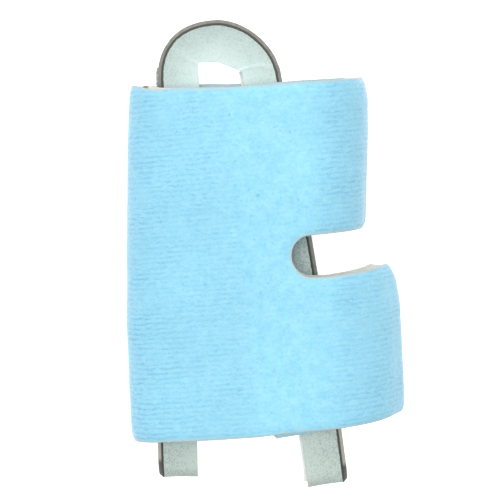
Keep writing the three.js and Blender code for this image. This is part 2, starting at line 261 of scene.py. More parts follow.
def fold_path(y, flap):
    """Start of the wrap's inner face at places along the finger, and its stretches: each a turn with
    its radius, or a straight length."""
    half_width = leg_half_width(y)
    gutter_x = half_width - RIM_BAND - DISH_RADIUS * math.sin(RIM_SLOPE)
    leave_x = gutter_x + UNDER_RADIUS * math.sin(FOLD_LEAVE_SLOPE)
    fold_radius = (half_width + FOLD_REACH - leave_x) / (1 - math.sin(FOLD_LEAVE_SLOPE))
    fold_x = fold_radius - half_width - FOLD_REACH
    fold_z = GUTTER_HEIGHT - (UNDER_RADIUS - fold_radius) * math.cos(FOLD_LEAVE_SLOPE)
    crest_x = TUCK_END_X - LAYER_GAP
    span_x = crest_x - fold_x
    span_z = FRONT_HEIGHT - CREST_RADIUS - fold_z
    spread = np.hypot(span_x, span_z)
    rise_slope = np.arctan2(span_z, span_x) + np.arcsin((CREST_RADIUS - fold_radius) / spread)
    rise_length = np.sqrt(spread ** 2 - (CREST_RADIUS - fold_radius) ** 2)
    curl_radius, curl_z, slope, bend_radius, fall_length, bend_x = flap_shape(y, flap)
    over_rim_radius = RIM_FOLD_RADIUS + FOAM_THICKNESS
    start = (gutter_x + UNDER_RADIUS * math.sin(BACK_END_SLOPE),
             GUTTER_HEIGHT - UNDER_RADIUS * math.cos(BACK_END_SLOPE) + 0 * y,
             math.pi + BACK_END_SLOPE + 0 * y)
    path = [
        (UNDER_RADIUS, -BACK_END_SLOPE), (None, 2 * gutter_x), (UNDER_RADIUS, -FOLD_LEAVE_SLOPE),
        (fold_radius, rise_slope + FOLD_LEAVE_SLOPE - math.pi), (None, rise_length),
        (CREST_RADIUS, -rise_slope), (None, SLOT_CENTRE_X - SLOT_RADIUS - crest_x),
        (None, SLOT_RADIUS), (None, bend_x - SLOT_CENTRE_X), (bend_radius, -slope),
        (None, fall_length), (curl_radius, slope - 1.5 * math.pi),
        (None, TUCK_HEIGHT - over_rim_radius - curl_z), (over_rim_radius, math.pi / 2),
        (None, half_width + FLAP_SIDE_GAP - RIM_FOLD_RADIUS - TUCK_END_X),
    ]
    return start, path


def along_fold(y, flap, stretch, share):
    """Place and heading of the wrap's inner face part of the way along one of its stretches."""
    (x, z, heading), path = fold_path(y, flap)
    for index, (radius, amount) in enumerate(path[:stretch + 1]):
        reached = amount * (share if index == stretch else 1.0)
        if radius is None:
            x = x + reached * np.cos(heading)
            z = z + reached * np.sin(heading)
        else:
            signed = radius * np.sign(amount)
            turned = heading + reached
            x = x + signed * (np.sin(turned) - np.sin(heading))
            z = z - signed * (np.cos(turned) - np.cos(heading))
            heading = turned
    return x, z, heading


def wrap_columns():
    """What changes from column to column: place in the fold, cut edges, thickness, half the slot."""
    pressed = TUCK_PRESSED * FOAM_THICKNESS
    columns = []
    before = (WRAP_START_TOP, 0.0, 0.0, FOAM_THICKNESS)
    half_slot = 0.0
    for index, (name, steps, top, bottom, slide) in enumerate(STRETCHES):
        after = (top, bottom, slide, pressed if name in ("over_rim", "tuck") else FOAM_THICKNESS)
        for step in range(0 if index == 0 else 1, steps + 1):
            share = step / steps
            reached = share
            if name == "slot_round":
                half_slot = SLOT_RADIUS * math.sin(share * math.pi / 2)
                reached = 1 - math.cos(share * math.pi / 2)
            drift = [a + (b - a) * share for a, b in zip(before, after)]
            columns.append({"stretch": index, "share": reached, "top": drift[0], "bottom": drift[1],
                            "slide": drift[2], "thickness": drift[3], "half_slot": half_slot})
        before = after
    return columns


def easing_rows(count):
    """Shares from 0 to 1, closer together at both ends, where the cut edges are soft."""
    even = np.linspace(0, 1, count)
    return even - EDGE_CROWDING * np.sin(2 * np.pi * even) / (2 * np.pi)


# What the last axis of the wrap's grid holds after a place's X, Y and Z
HEADING, THICKNESS, TO_TOP, TO_BOTTOM = 3, 4, 5, 6


def wrap_half(columns, flap):
    """Inner face of one flap's half of the wrap, with its heading, its thickness and how far each place
    is from the top and the bottom edge."""
    rows = easing_rows(ROWS_PER_FLAP + 1)
    faces = []
    for column in columns:
        top = WRAP_TOP + column["top"] * WRAP_LENGTH
        bottom = WRAP_TOP + (column["bottom"] - 1) * WRAP_LENGTH
        if flap == "upper":
            low, high = SLOT_Y + column["half_slot"], top
        else:
            low, high = bottom, SLOT_Y - column["half_slot"] + column["slide"] * WRAP_LENGTH
        y = low + (high - low) * rows
        x, z, heading = along_fold(y, flap, column["stretch"], column["share"])
        faces.append(np.stack([x + 0 * y, y, z + 0 * y, heading + 0 * y,
                               column["thickness"] + 0 * y, top - y, y - bottom], axis=-1))
    return np.array(faces)


def flat_lengths(grid):
    """Length along the middle of the foam from the wrap's first cut end, row by row."""
    x = grid[..., 0] - grid[..., THICKNESS] / 2 * np.sin(grid[..., HEADING])
    z = grid[..., 2] + grid[..., THICKNESS] / 2 * np.cos(grid[..., HEADING])
    step = np.hypot(np.diff(x, axis=0), np.diff(z, axis=0))
    return np.concatenate([np.zeros((1, grid.shape[1])), np.cumsum(step, axis=0)])


# Softened edges and padding of the wrap
EDGE_SOFTNESS = 1.7
EDGE_PINCH = 0.24
LUMP_HEIGHT = 0.07
LUMP_SIZE = 5.5
SMALL_LUMP_SIZE = 2.1
SMALL_LUMP_SHARE = 0.45
SMALL_LUMP_PLACE = Vector((31, 7, 3))
CALM_AT_CUTS = 0.3
CUT_LEVELS = (0.09, 0.3, 0.7, 0.91)
CUT_RECESS = (0.02, 0.1, 0.1, 0.02)
FOLD_SQUEEZE = 0.14
SQUEEZE_FROM = -32
FOLD_RISE = 0.32

# How far the outer knit has drawn back from each cut edge, how far in that reaches, and the places
# along X where it is strongest or starts, with how far it takes to change
DRAWN_BACK = {"top": 0.05, "left_top": 0.26, "corner": 0.2, "bottom": 0.3, "slot": 0.12,
              "end": 0.25, "end_inside": 0.9}
DRAWN_BACK_REACH = 2.2
LEFT_TOP_X, LEFT_TOP_SPREAD = -8.6, 2.4
CORNER_X, CORNER_SPREAD = -10.6, 0.9
BOTTOM_X, BOTTOM_SPREAD = -4, 9


def slot_distance(flat, grid, slot_flat, flap, columns):
    """How far each flat place is from the slot, and the signed share of that along the finger."""
    slide = np.array([c["slide"] for c in columns])[:, None] * WRAP_LENGTH
    along = grid[..., 1] - SLOT_Y - (slide if flap == "lower" else 0)
    before = np.maximum(0, slot_flat[None, :] - flat)
    spread = np.hypot(before, along)
    return spread - SLOT_RADIUS, along / np.maximum(spread, SLOT_RADIUS / 2)


def edge_distance(flat, grid, to_slot):
    """How far each place of the flat sheet is from its nearest cut edge, in millimetres."""
    ends = np.minimum(flat, flat[-1][None, :] - flat)
    sides = np.minimum(grid[..., TO_TOP], grid[..., TO_BOTTOM])
    return np.maximum(0, np.minimum(np.minimum(ends, sides), to_slot))


def near_edge(distance):
    """1 at a cut edge, and 0 from DRAWN_BACK_REACH millimetres away from it."""
    return np.clip(1 - distance / DRAWN_BACK_REACH, 0, 1) ** 2


def drawn_back(columns, grid, x, to_slot, slot_side):
    """How far the outer knit, at x, has drawn back along the finger, so that the cut edges slant."""
    rise = [stretch[0] for stretch in STRETCHES].index("rise")
    in_front = np.array([float(c["stretch"] >= rise) for c in columns])[:, None]
    to_right = np.clip((grid[..., 0] - BOTTOM_X) / BOTTOM_SPREAD, 0, 1)
    near_left_top = np.clip(1 - np.abs(x - LEFT_TOP_X) / LEFT_TOP_SPREAD, 0, 1)
    in_corner = np.clip((CORNER_X - x) / CORNER_SPREAD, 0, 1)
    bottom = DRAWN_BACK["bottom"] * in_front * to_right
    top = DRAWN_BACK["top"] + DRAWN_BACK["left_top"] * near_left_top - DRAWN_BACK["corner"] * in_corner
    from_slot = DRAWN_BACK["slot"] * near_edge(to_slot) * np.minimum(slot_side, 0)
    return bottom * near_edge(grid[..., TO_BOTTOM]) - top * near_edge(grid[..., TO_TOP]) + from_slot


def round_left_fold(columns):
    """0 outside the left fold's bend, and 1 in the middle of it."""
    return np.array([math.sin(math.pi * c["share"]) if STRETCHES[c["stretch"]][0] == "left_fold" else 0
                     for c in columns])[:, None]


def fold_squeeze(columns, y):
    """Where the left fold is squeezed: round its bend, more and more towards the feet."""
    reach = WRAP_LENGTH + WRAP_TOP + SQUEEZE_FROM
    return round_left_fold(columns) * np.clip((SQUEEZE_FROM - y) / reach, 0, 1)


def lumps(points):
    """Slow unevenness of the padded faces, the same on every run."""
    places = [Vector(p) for p in points.reshape(-1, 3)]
    slow = [noise.noise(p / LUMP_SIZE) for p in places]
    quick = [noise.noise(p / SMALL_LUMP_SIZE + SMALL_LUMP_PLACE) for p in places]
    return (np.array(slow) + SMALL_LUMP_SHARE * np.array(quick)).reshape(points.shape[:-1])


def slot_start(columns):
    """Number of the column where the slot's round end begins."""
    return next(i for i, c in enumerate(columns) if c["half_slot"] > 0) - 1


def padded_faces(columns, flap):
    """Outer and inner faces of one half of the wrap, soft at its cut edges, and their flat places."""
    grid = wrap_half(columns, flap)
    grid[..., THICKNESS] *= 1 - FOLD_SQUEEZE * fold_squeeze(columns, grid[..., 1])
    grid[..., 1] += FOLD_RISE * round_left_fold(columns) * near_edge(grid[..., TO_TOP])
    flat = flat_lengths(grid)
    slot_flat = flat[slot_start(columns)] + SLOT_RADIUS
    to_slot, slot_side = slot_distance(flat, grid, slot_flat, flap, columns)
    distance = edge_distance(flat, grid, to_slot)
    near = np.clip(1 - distance / EDGE_SOFTNESS, 0, 1)
    inset = grid[..., THICKNESS] / 2 * EDGE_PINCH * near ** 2
    sine, cosine = np.sin(grid[..., HEADING]), np.cos(grid[..., HEADING])
    side = np.stack([-sine, np.zeros_like(sine), cosine], axis=-1)
    inner = grid[..., :3] + side * inset[..., None]
    outer = grid[..., :3] + side * (grid[..., THICKNESS] - inset)[..., None]
    calm = np.clip(distance / EDGE_SOFTNESS, CALM_AT_CUTS, 1)
    outer = outer + side * (LUMP_HEIGHT * lumps(outer) * calm)[..., None]
    outer[..., 1] += drawn_back(columns, grid, outer[..., 0], to_slot, slot_side)
    outer[..., 2] = np.maximum(outer[..., 2], 0)
    to_end = flat[-1] - flat
    outer[..., 0] += DRAWN_BACK["end"] * near_edge(to_end)
    inner[..., 0] += DRAWN_BACK["end_inside"] * near_edge(to_end)
    cloth = np.stack([flat, grid[..., 1], stretch_of(columns, grid.shape[1]), distance], axis=-1)
    return outer, inner, cloth


class MeshParts:
    """Collects points with their flat places, and faces with their materials, of one soft piece."""

    def __init__(self):
        self.points = []
        self.cloth = []
        self.faces = []
        self.kinds = []

    def add_points(self, places, cloth):
        """Takes in places with their flat places, and gives the number of the first."""
        first = len(self.points)
        self.points.extend(places)
        self.cloth.extend(cloth)
        return first

    def add_sheet(self, index, kind, flip):
        """Faces between neighbouring points of a grid of point numbers."""
        for i in range(index.shape[0] - 1):
            for j in range(index.shape[1] - 1):
                corner = [index[i, j], index[i + 1, j], index[i + 1, j + 1], index[i, j + 1]]
                self.faces.append(corner[::-1] if flip else corner)
                self.kinds.append(kind)


def cut_wall(parts, front, back, inward, cloth, kinds):
    """Closes a cut edge from the outer face to the inner one: knit, foam core, knit."""
    lines = [front[0]]
    for level, recess in zip(CUT_LEVELS, CUT_RECESS):
        place = front[1] * (1 - level) + back[1] * level + inward * recess
        lines.append(parts.add_points(to_model(*place.T), cloth) + np.arange(len(place)))
    lines.append(back[0])
    for line, kind in enumerate(kinds):
        for i in range(len(front[0]) - 1):
            parts.faces.append([lines[line][i], lines[line + 1][i],
                                lines[line + 1][i + 1], lines[line][i + 1]])
            parts.kinds.append(kind)


LOOP_KNIT, CUT_FOAM = 0, 1
CUT_KINDS = (LOOP_KNIT, CUT_FOAM, CUT_FOAM, CUT_FOAM, LOOP_KNIT)


def inward_of(middle, rows, columns):
    """Unit directions from places on a cut edge to the sheet's inside."""
    away = middle[columns[1], rows[1]] - middle[columns[0], rows[0]]
    return away / np.linalg.norm(away, axis=-1, keepdims=True)


# How far the knit is stretched open on the wrap's stretches, and over how many columns that eases
OPENNESS = {"left_fold": 1.0, "rise": 0.55, "bend": 0.75, "slope": 1.0, "curl": 1.0, "over_rim": 0.6}
OPENNESS_ELSEWHERE = 0.15
OPENNESS_EASE = 15


def stretch_of(columns, rows):
    """How much the knit is stretched open: most round the folds, least in the middle of the front."""
    value = np.array([OPENNESS.get(STRETCHES[c["stretch"]][0], OPENNESS_ELSEWHERE) for c in columns])
    kernel = np.hanning(OPENNESS_EASE)
    held = np.pad(value, OPENNESS_EASE // 2, mode="edge")
    smooth = np.convolve(held, kernel / kernel.sum(), mode="valid")
    return np.repeat(smooth[:, None], rows, axis=1)


# Loose fibres of the nap: each rises from its root to its middle, then leans over to its tip
FUZZY_STRETCHES = ("under_left", "left_fold", "rise", "crest", "front", "slot_round", "land", "bend",
                   "slope", "curl", "riser")
FIBRE_SEED = 11
FIBRES_PER_FLAP = 9000
FIBRE_LENGTH = 0.36
FIBRE_LENGTH_RANGE = (0.5, 1.3)
FIBRE_WIDTH = 0.024
ROOT_RISE, ROOT_LEAN = 0.42, 0.3
TIP_RISE, TIP_LEAN = 0.12, 0.42
TINY = 1e-9

# Faces of one fibre: from its root to its middle, and from there to its tip
FIBRE_QUAD = (0, 1, 2, 3)
FIBRE_TIP = (3, 2, 4)


def fibre_roots(outer, columns, chance):
    """Random places on one flap's outer face, and the way out from the face at each of them."""
    fuzzy = np.array([STRETCHES[c["stretch"]][0] in FUZZY_STRETCHES for c in columns[:-1]])
    corner, over, along = outer[:-1, :-1], outer[1:, :-1], outer[:-1, 1:]
    normal = np.cross(over - corner, along - corner)
    area = np.linalg.norm(normal, axis=-1)
    normal /= np.maximum(area, TINY)[..., None]
    if normal[len(columns) // 2, 0, 2] < 0:
        normal = -normal
    weight = (area * fuzzy[:, None]).ravel()
    picked = chance.choice(weight.size, FIBRES_PER_FLAP, p=weight / weight.sum())
    c, r = np.unravel_index(picked, area.shape)
    s, t = chance.random((2, FIBRES_PER_FLAP, 1))
    return corner[c, r] + s * (over - corner)[c, r] + t * (along - corner)[c, r], normal[c, r]


def fibres_on(outer, columns, chance):
    """Loose fibres of the nap on one flap's outer face: thin bent slips, in millimetres."""
    root, up = fibre_roots(outer, columns, chance)
    side = np.cross(up, chance.normal(0, 1, root.shape))
    side /= np.linalg.norm(side, axis=-1, keepdims=True)
    flat_way = np.cross(side, up)
    length = FIBRE_LENGTH * chance.uniform(*FIBRE_LENGTH_RANGE, (len(root), 1))
    middle = root + length * (ROOT_RISE * up + ROOT_LEAN * flat_way)
    tip = middle + length * (TIP_RISE * up + TIP_LEAN * flat_way)
    half = side * FIBRE_WIDTH / 2
    points = np.stack([root - half, root + half, middle + half, middle - half, tip], axis=1)
    return points[points[..., 2].min(axis=1) > FIBRE_WIDTH]


def linked(name, mesh):
    """An object of a mesh, in the scene."""
    piece = bpy.data.objects.new(name, mesh)
    bpy.context.collection.objects.link(piece)
    return piece


def add_values(mesh, name, values):
    """A number at each of a mesh's points, for a material to read."""
    held = mesh.attributes.new(name, "FLOAT", "POINT")
    held.data.foreach_set("value", np.array(values, dtype=np.float32))


def loose_fibres(fibres, material):
    """The nap's loose fibres as one object."""
    places = np.concatenate(fibres)
    first = places.shape[1] * np.arange(len(places))[:, None]
    quads = (first + np.array(FIBRE_QUAD)).tolist()
    tips = (first + np.array(FIBRE_TIP)).tolist()
    mesh = bpy.data.meshes.new("loop_fibres")
    mesh.from_pydata(to_model(*places.reshape(-1, 3).T).tolist(), [], quads + tips)
    mesh.materials.append(material)
    return linked("loop_fibres", mesh)


def cut_edges(flap, count, rows, first_slot):
    """The cut edges of one half of the wrap: the columns and rows of their places and of the places one
    step further in, and whether they run forwards."""
    last, last_row = count - 1, rows - 1
    bottom_from, top_from = (0, first_slot) if flap == "lower" else (first_slot, 0)
    bottom, top = np.arange(bottom_from, count), np.arange(top_from, count)
    every_row = np.arange(rows)
    edges = []
    for c, r, forward in ((bottom, 0 * bottom, True), (top, 0 * top + last_row, False),
                          (0 * every_row, every_row, False), (0 * every_row + last, every_row, True)):
        on_bottom, on_top = (r == 0) & (c >= bottom_from), (r == last_row) & (c >= top_from)
        to_c = np.where(c == 0, 1, np.where(c == last, last - 1, c))
        to_c = np.where((on_bottom & (c == bottom_from)) | (on_top & (c == top_from)),
                        np.where(c == 0, 1, c - 1), to_c)
        to_r = np.where(on_bottom, 1, np.where(on_top, last_row - 1, r))
        slot_tip = (c == first_slot) & ((on_bottom & (bottom_from > 0)) | (on_top & (top_from > 0)))
        edges.append((c, r, to_c, np.where(slot_tip, r, to_r), forward))
    return edges


def foam_wrap(knit, foam):
    """The folded foam wrap with both its knit faces and its cut edges, as one closed mesh, and the
    loose fibres that stand on its outer face."""
    columns = wrap_columns()
    parts = MeshParts()
    chance = np.random.default_rng(FIBRE_SEED)
    fibres = []
    for flap in ("lower", "upper"):
        outer, inner, cloth = padded_faces(columns, flap)
        fibres.append(fibres_on(outer, columns, chance))
        shape = cloth.shape[:2]
        numbers = {}
        for name, face, flip in (("outer", outer, False), ("inner", inner, True)):
            first = parts.add_points(to_model(*face.reshape(-1, 3).T), cloth.reshape(-1, 4))
            numbers[name] = first + np.arange(shape[0] * shape[1]).reshape(shape)
            parts.add_sheet(numbers[name], LOOP_KNIT, flip)
        middle = (outer + inner) / 2
        for c, r, to_c, to_r, forward in cut_edges(flap, *shape, slot_start(columns)):
            inward = inward_of(middle, (r, to_r), (c, to_c))
            order = slice(None) if forward else slice(None, None, -1)
            front = (numbers["outer"][c, r][order], outer[c, r][order])
            back = (numbers["inner"][c, r][order], inner[c, r][order])
            cut_wall(parts, front, back, inward[order], cloth[c, r][order], CUT_KINDS)
    return closed_piece("loop_foam_wrap", parts, (knit, foam)), fibres


# Points nearer than this, in metres, are one point, and shorter edges are none
MERGE_WITHIN = 2e-6
SHORTEST_EDGE = 1e-7


def closed_piece(name, parts, materials):
    """Makes one object of the collected parts, with its shared points merged."""
    mesh = bpy.data.meshes.new(name)
    mesh.from_pydata([tuple(p) for p in parts.points], [], [list(map(int, f)) for f in parts.faces])
    for material in materials:
        mesh.materials.append(material)
    mesh.polygons.foreach_set("material_index", parts.kinds)
    mesh.polygons.foreach_set("use_smooth", [True] * len(parts.faces))
    values = np.array(parts.cloth, dtype=np.float32)
    cloth = mesh.attributes.new("cloth", "FLOAT_VECTOR", "POINT")
    cloth.data.foreach_set("vector", values[:, :3].ravel())
    add_values(mesh, "to_edge", values[:, 3])
    shape = bmesh.new()
    shape.from_mesh(mesh)
    bmesh.ops.remove_doubles(shape, verts=shape.verts, dist=MERGE_WITHIN)
    bmesh.ops.dissolve_degenerate(shape, edges=shape.edges, dist=SHORTEST_EDGE)
    shape.to_mesh(mesh)
    shape.free()
    return linked(name, mesh)


# Hard pieces start as a primitive grid whose corners are then set out along the metal

def only(piece):
    """Makes one object the only selected and active one."""
    bpy.ops.object.select_all(action="DESELECT")
    piece.select_set(True)
    bpy.context.view_layer.objects.active = piece


def turn_faces_out(piece):
    """Turns all faces of a piece the same way, and outwards where it is closed."""
    only(piece)
    bpy.ops.object.mode_set(mode="EDIT")
    bpy.ops.mesh.select_all(action="SELECT")
    bpy.ops.mesh.normals_make_consistent(inside=False)
    bpy.ops.object.mode_set(mode="OBJECT")


def strip_grid(name, stations, shares_at, depth_at, materials):
    """A grid laid behind the metal's front face, stations by shares across it."""
    steps_along = len(stations) - 1
    steps_across = len(shares_at(stations[0])) - 1
    bpy.ops.object.select_all(action="DESELECT")
    bpy.ops.mesh.primitive_grid_add(x_subdivisions=steps_along, y_subdivisions=steps_across, size=2)
    piece = bpy.context.active_object
    piece.name = name
    piece.data.name = name
    for material in materials:
        piece.data.materials.append(material)
    across, down = [], []
    for corner in piece.data.vertices:
        station = stations[round((corner.co.x + 1) / 2 * steps_along)]
        share = shares_at(station)[round((corner.co.y + 1) / 2 * steps_across)]
        place = behind_metal(station, share, depth_at(station, share))
        corner.co = Vector(to_model(place.x, place.y, place.z))
        across.append(share)
        down.append(station)
    add_values(piece.data, "across", across)
    add_values(piece.data, "down", down)
    return piece


RIM_MATERIAL = 1
BEVEL_OVER = math.radians(50)
SMOOTH_UNDER = math.radians(40)


def solid(piece, thickness, bevel):
    """Gives a laid-out grid its thickness behind it and softened edges."""
    turn_faces_out(piece)
    if piece.data.polygons[0].normal.z < 0:
        piece.data.flip_normals()
    wall = piece.modifiers.new("wall", "SOLIDIFY")
    wall.thickness = thickness * MM
    wall.offset = -1
    wall.use_even_offset = True
    wall.material_offset_rim = RIM_MATERIAL
    front_count = len(piece.data.vertices)
    bpy.ops.object.modifier_apply(modifier=wall.name)
    add_values(piece.data, "behind", [i >= front_count for i in range(len(piece.data.vertices))])
    soften = piece.modifiers.new("soften", "BEVEL")
    soften.width = bevel * MM
    soften.segments = 2
    soften.limit_method = "ANGLE"
    soften.angle_limit = BEVEL_OVER
    bpy.ops.object.modifier_apply(modifier=soften.name)
    bpy.ops.object.shade_smooth_by_angle(angle=SMOOTH_UNDER)


# Stations of each crease at the metal's inner edge and at its rim
CREASES = ((-47, -50), (64, 80))
CREASE_WIDTH = 3.2
CREASE_RISE = 0.06


def crease_at(station, share):
    """How near a place is to one of the two creases that run from the window's corners to the rim."""
    near = [math.exp(-((station - inner - (outer - inner) * share) / CREASE_WIDTH) ** 2)
            for inner, outer in CREASES]
    return max(near)


def metal_frame(satin, cut):
    """The dished hairpin with its bent feet."""
    left = -leg_stations("left")
    right = leg_stations("right")[::-1]
    crown = np.linspace(-QUARTER_TURN, QUARTER_TURN, CROWN_STEPS + 1)[1:-1]
    stations = np.concatenate([left, crown, right])
    shares = np.linspace(0, 1, STEPS_ACROSS_METAL + 1)
    piece = strip_grid("hairpin_frame", stations, lambda station: shares,
                       lambda station, share: -CREASE_RISE * crease_at(station, share), (satin, cut))
    down = [value.value for value in piece.data.attributes["down"].data]
    across = [value.value for value in piece.data.attributes["across"].data]
    add_values(piece.data, "crease", [crease_at(*place) for place in zip(down, across)])
    add_values(piece.data, "to_foot", [QUARTER_TURN + LEG_LENGTHS[hand_at(station)] - abs(station)
                                       for station in down])
    solid(piece, METAL_THICKNESS, METAL_BEVEL)
    return piece


def strip_foot(hand):
    """Station where a strip of hook tape ends near the foot."""
    return QUARTER_TURN + HOOK_STRIPS[hand]["foot"] * LEG_LENGTHS[hand]


def strip_shares(hand, station):
    """Shares across the metal that a strip of hook tape spans at a station."""
    strip = HOOK_STRIPS[hand]
    down = (abs(station) - strip["top"]) / (strip_foot(hand) - strip["top"])
    inner = strip["inner"] + (strip["inner_foot"] - strip["inner"]) * down
    return np.linspace(inner, strip["outer"], STEPS_ACROSS_TAPE + 1)


def strip_stations(hand, crown_steps=8, leg_steps=75):
    """Stations along a strip of hook tape, from left to right."""
    crown = np.linspace(HOOK_STRIPS[hand]["top"], QUARTER_TURN, crown_steps + 1)[:-1]
    leg = np.linspace(QUARTER_TURN, strip_foot(hand), leg_steps + 1)
    stations = SIDES[hand] * np.concatenate([crown, leg])
    return stations[::-1] if hand == "left" else stations


# A hook's side view, in shares of its height, and half its width at each of those places. The rows of
# hooks start part of the way round the crown, which counts as CROWN_PER_DEGREE millimetres a degree.
HOOK_PATH = ((0, 0), (0, 0.55), (0.05, 0.82), (0.22, 1.0), (0.42, 0.9), (0.5, 0.68))
HOOK_HALF_WIDTHS = (0.075, 0.07, 0.065, 0.06, 0.055, 0.03)
HOOK_PITCH = 0.62
HOOK_WANDER = 0.125
HOOK_LEAN = 0.5
HOOK_SEED = 7
HOOKS_ON_CROWN = 2.2
HOOKS_BEFORE_FOOT = 0.3
CROWN_PER_DEGREE = 0.12
ROW_MARGIN = 0.7
ROW_START = 0.02


def one_hook():
    """Points and faces of one bent nylon hook, in millimetres, standing on its root."""
    height = HOOK_THICKNESS * (1 - TAPE_SHARE)
    points = []
    for (reach, rise), width in zip(HOOK_PATH, HOOK_HALF_WIDTHS):
        for dx, dy in ((-width, -width), (width, -width), (width, width), (-width, width)):
            points.append((reach * height + dx, dy, rise * height))
    faces = [(3, 2, 1, 0)]
    for ring in range(len(HOOK_PATH) - 1):
        for k in range(4):
            a, b = ring * 4 + k, ring * 4 + (k + 1) % 4
            faces.append((a, b, b + 4, a + 4))
    end = (len(HOOK_PATH) - 1) * 4
    faces.append((end, end + 1, end + 2, end + 3))
    return np.array(points), faces


def hook_turn(station, share, depth, way, lean):
    """Root of a hook on the tape, and the turn of a hook that leans from one way along the leg."""
    here = behind_metal(station, share, depth)
    up = (behind_metal(station, share, depth + 1) - here).normalized()
    along = Vector((0, way, 0))
    across = up.cross(along).normalized()
    along = across.cross(up)
    ahead = along * math.cos(lean) + across * math.sin(lean)
    return here, Matrix((ahead, up.cross(ahead), up)).transposed()


def hook_row(hand, station, row, chance):
    """Roots and turns of the hooks of one row across a strip."""
    side = SIDES[hand]
    depth = METAL_THICKNESS + CLEARANCE + HOOK_THICKNESS * TAPE_SHARE
    shares = strip_shares(hand, station)
    ends = [behind_metal(side * station, s, depth) for s in (shares[0], shares[-1])]
    count = int((ends[1] - ends[0]).length / HOOK_PITCH)
    placed = []
    for k in range(count + 1):
        wander = chance.uniform(-HOOK_WANDER, HOOK_WANDER, 2)[0] * HOOK_PITCH
        lean = chance.uniform(-HOOK_LEAN, HOOK_LEAN)
        share = np.interp((k + 0.5 * (row % 2)) / (count + ROW_MARGIN) + ROW_START, (0, 1),
                          (shares[0], shares[-1]))
        placed.append(hook_turn(side * (station + wander), share, depth, 1 if row % 2 else -1, lean))
    return placed


def hooks(hand, nylon):
    """All the hooks of one strip as one mesh, turned this way and that in their rows."""
    chance = np.random.default_rng(HOOK_SEED)
    placed = []
    row = 0
    station = QUARTER_TURN - HOOKS_ON_CROWN / CROWN_PER_DEGREE
    while station < strip_foot(hand) - HOOKS_BEFORE_FOOT:
        placed.extend(hook_row(hand, station, row, chance))
        row += 1
        station += HOOK_PITCH / (CROWN_PER_DEGREE if station < QUARTER_TURN else 1)
    points, faces = one_hook()
    places = np.concatenate([points @ np.array(turn).T + np.array(root) for root, turn in placed])
    all_faces = [[len(points) * number + i for i in face]
                 for number in range(len(placed)) for face in faces]
    mesh = bpy.data.meshes.new(f"hooks_{hand}")
    mesh.from_pydata([tuple(p) for p in to_model(*places.T)], [], all_faces)
    mesh.materials.append(nylon)
    piece = linked(f"hooks_{hand}", mesh)
    turn_faces_out(piece)
    return piece


def hook_tape(hand, nylon, cut):
    """One strip of tape behind a leg."""
    stations = strip_stations(hand)
    front = METAL_THICKNESS + CLEARANCE
    piece = strip_grid(f"hook_tape_{hand}", stations, lambda station: strip_shares(hand, station),
                       lambda station, share: front, (nylon, cut))
    solid(piece, HOOK_THICKNESS * TAPE_SHARE, TAPE_BEVEL)
    return piece


# Materials. Colours are linear red, green and blue. Noise and cell scales are per metre, or for the
# knit's rows per millimetre of the flat sheet. Pairs of numbers say where a look starts and where it
# is full: in millimetres from the foot, in shares across the metal, or in values of a noise.

TWO_STOPS = (0.3, 0.7)
THREE_STOPS = (0.34, 0.5, 0.66)
RAGGED_SCALE, RAGGED_DETAIL = 2600, 3.0
SPOT_CORE = 0.7

ROW_PITCH = 0.68
ROW_WANDER = 5.5
ROW_SHIFT = -2.7
DASH_SQUEEZE = 0.45
WANDER_SCALE, DASH_SCALE, PATCH_SCALE = 0.9, 2.7, 0.28
DASHED = (0.38, 0.58)
PATCHY = (0.2, 0.6)
CLOUD_SCALE, NAP_SCALE, BROAD_SCALE, LINT_SCALE = 900, 2500, 95, 1500
LINTY = (0.73, 0.77)
BACK_LAYER_END = 18
BACK_LAYER_EASE = 2
FRAY_RAGGED = 0.5
# How much wider the grey is on the back layer's cut edges, where it is painted shade
BACK_LAYER_SHADE = 0.4
FRAYED = (0.16, -0.12)
KNIT_BLUES = ((0.285, 0.665, 0.86), (0.325, 0.71, 0.88), (0.37, 0.75, 0.90))
STRETCHED_BLUE = (0.295, 0.61, 0.765)
ROW_BLUE = (0.19, 0.5, 0.72)
LINT_BLUE = (0.12, 0.3, 0.5)
# Grey of the fraying at the cut edges, and of the painted shade on the back layer's cut edges
FRAYED_AND_SHADED_GREY = (0.47, 0.55, 0.56)
SHEEN_TINT = (0.92, 0.95, 1.0, 1)
FIBRE_BLUES = ((0.38, 0.7, 0.87), (0.52, 0.78, 0.9))

FIBRE_TONE_SCALE = 1200
FOAM_CELL_SCALE, FOAM_TONE_SCALE = 2600, 260
FOAM_CREAMS = ((0.66, 0.64, 0.575), (0.75, 0.73, 0.665))
STAIN_BROWN = (0.16, 0.12, 0.07)
STAIN = {"spot": (-10.03, -0.05, 10.0), "reach": 0.62, "ragged": 0.3, "height_counts": 0.1}

SATIN_SCALE, GRAIN_SCALE, STREAK_SCALE = 300, 4200, 1400
SPECK_SCALE, SPECK_PICK_SCALE = 3300, 1500
SPECK_CROWD, CROWD_TO_RIM, CROWD_ON_LEGS = 0.2, 0.26, 0.06
SPECK_PICKED = (0.4, 0.5)
ON_LEGS = (50, 34)
SMOOTH_INSIDE = (0.45, 0.1)
GRAINY_ACROSS, GRAINY_DOWN = (0.1, 0.6), (60, 32)
NEAR_FOOT, AT_FOOT_END = (14, 5), (1.4, 0.2)
RIM_ON_LEGS = (50, 40)
BEIGE_NEAR_FOOT, DARK_AT_END = (12, 7), (2.8, 2.1)
NEAR_FRONT = (0.34, 0.2)
SATIN_TONES = ((0.62, 0.74, 0.705), (0.67, 0.775, 0.74))
SMOOTH_SATIN = (0.62, 0.715, 0.66)
# Painted highlight along the creases
CREASE_HIGHLIGHT = (0.74, 0.84, 0.81)
